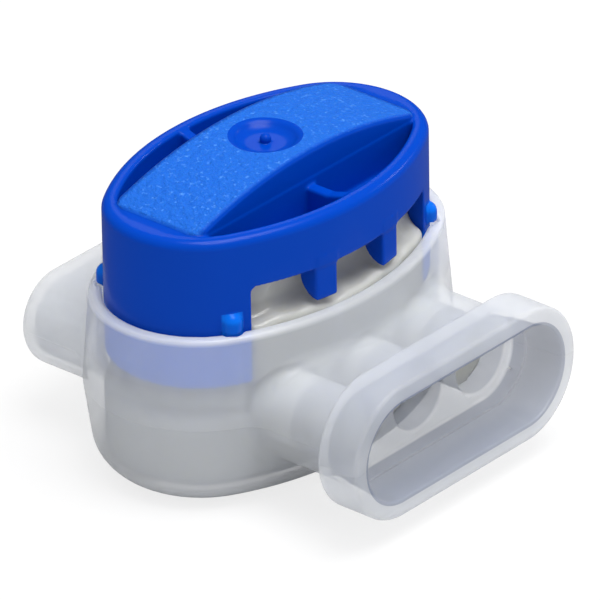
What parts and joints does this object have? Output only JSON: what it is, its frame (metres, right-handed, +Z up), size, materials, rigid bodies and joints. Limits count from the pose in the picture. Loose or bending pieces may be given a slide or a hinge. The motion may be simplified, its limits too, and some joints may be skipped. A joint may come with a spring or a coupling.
{
  "type": "wire splice connector",
  "caption": "Gel-filled splice for insulated wires: an oval cup with a wire mouth on one side, and a push-down cap that carries a slotted contact.",
  "frame": {"origin": "middle of the flat base of the oval cup", "axes": "+X along the wires and out of the mouth, +Y across the wires, +Z up through the cap"},
  "size_m": [0.024, 0.0228, 0.0169],
  "materials": {
    "housing": "natural, milky",
    "cap": "satin, with a spark-eroded thumb pad",
    "contact": "tinned",
    "gel": "wet, translucent"
  },
  "bodies": {
    "housing": {"body": "housing", "gel": "gel"},
    "plunger": {"cap": "cap", "contact": "contact"}
  },
  "joints": [
    {"name": "cap_press", "type": "slide", "parent": "housing", "child": "plunger", "axis": [0, 0, -1], "range_m": [0, 0.0048], "deforming": ["gel"]}
  ]
}
